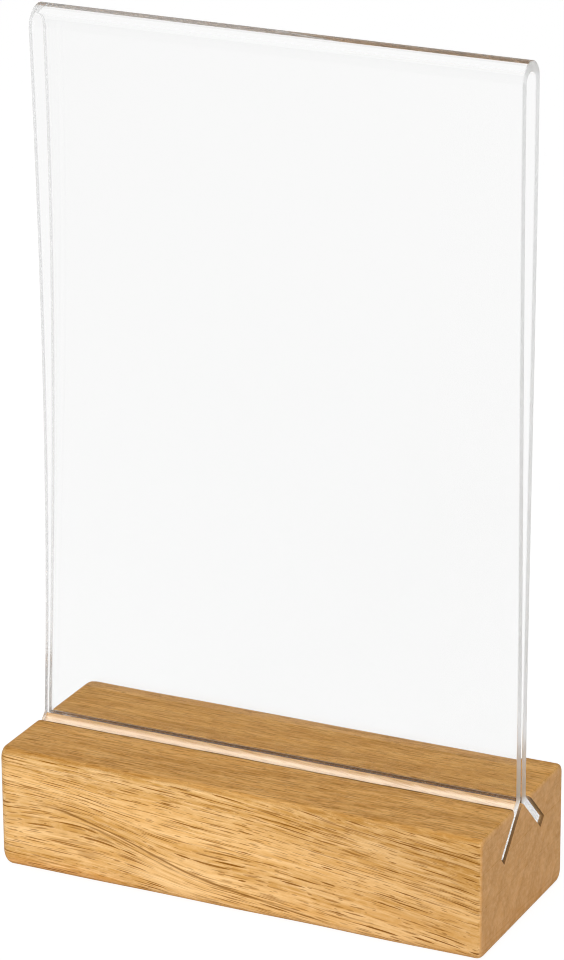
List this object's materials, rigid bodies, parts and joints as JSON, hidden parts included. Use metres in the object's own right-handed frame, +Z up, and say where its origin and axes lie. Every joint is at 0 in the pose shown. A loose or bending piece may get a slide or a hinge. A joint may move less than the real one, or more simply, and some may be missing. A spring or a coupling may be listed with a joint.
{
  "type": "tabletop sign holder",
  "caption": "Tabletop sign holder: a clear acrylic sleeve, folded over at the top for an upright card, whose splayed legs slide into kerfs in a solid wooden block.",
  "frame": {"origin": "middle of the wooden base's underside, on the table", "axes": "+Z up, X along the base and across the card, +Y to the rear, so the card is read from -Y"},
  "size_m": [0.107, 0.042, 0.177],
  "materials": {
    "wood": "satin oiled light hardwood",
    "clear_acrylic": "clear polished acrylic sheet"
  },
  "bodies": {
    "base": {"wooden_base": "wood"},
    "sleeve": {"acrylic_sleeve": "clear_acrylic"}
  },
  "joints": [
    {"name": "sleeve_slide", "type": "slide", "parent": "base", "child": "sleeve", "axis": [1, 0, 0], "range_m": [-0.11, 0.11]}
  ]
}
